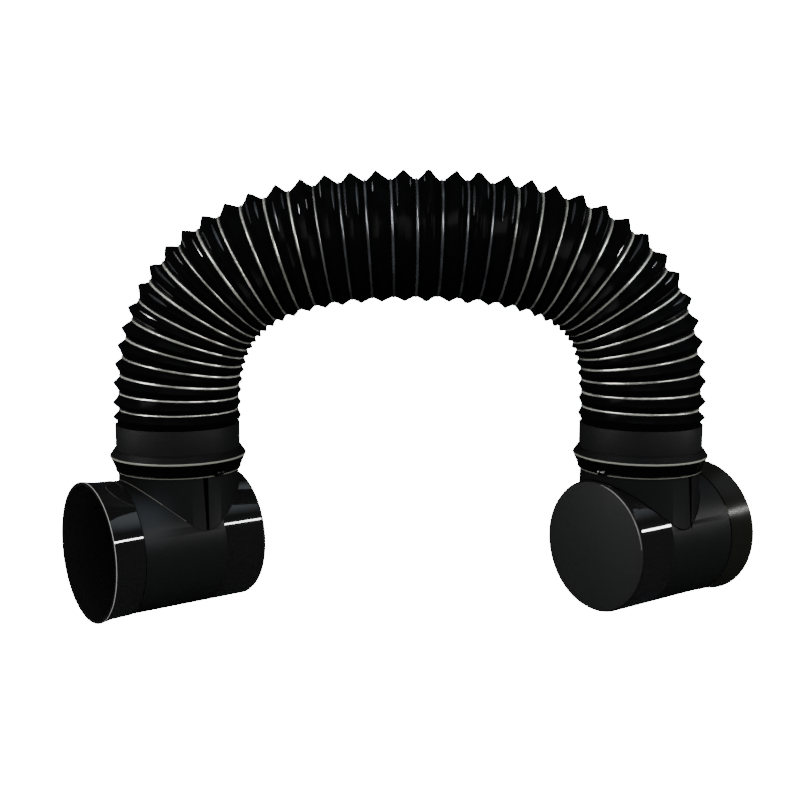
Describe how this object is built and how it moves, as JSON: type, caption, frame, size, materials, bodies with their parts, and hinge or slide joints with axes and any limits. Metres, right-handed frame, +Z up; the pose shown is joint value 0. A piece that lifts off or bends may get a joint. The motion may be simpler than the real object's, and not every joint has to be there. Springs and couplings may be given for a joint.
{
  "type": "flexible duct hose with tee fittings",
  "caption": "Pleated flexible duct hose bent into an arch, clamped at both ends to tee fittings that each have a flared socket and a capped end, for ventilation air.",
  "frame": {"origin": "on the surface that the tees rest on, midway between the two branches", "axes": "+Z up along both branches, +X from the left tee to the right tee in the plane of the arch, +Y away from the viewer"},
  "size_m": [0.5984, 0.1918, 0.3717],
  "materials": {
    "film": "glossy black film",
    "sleeve": "satin charcoal",
    "band": "gloss black",
    "plated": "bright plated",
    "moulding": "semi-gloss black moulding",
    "disc": "satin charcoal"
  },
  "bodies": {
    "root": {"hose": "film", "cuff_left": "sleeve", "clamp_ring_left": "band", "clamp_bolt_left": "plated", "tee_left": "moulding", "end_cap_left": "disc", "cuff_right": "sleeve", "clamp_ring_right": "band", "clamp_bolt_right": "plated", "tee_right": "moulding", "end_cap_right": "disc"}
  },
  "joints": []
}
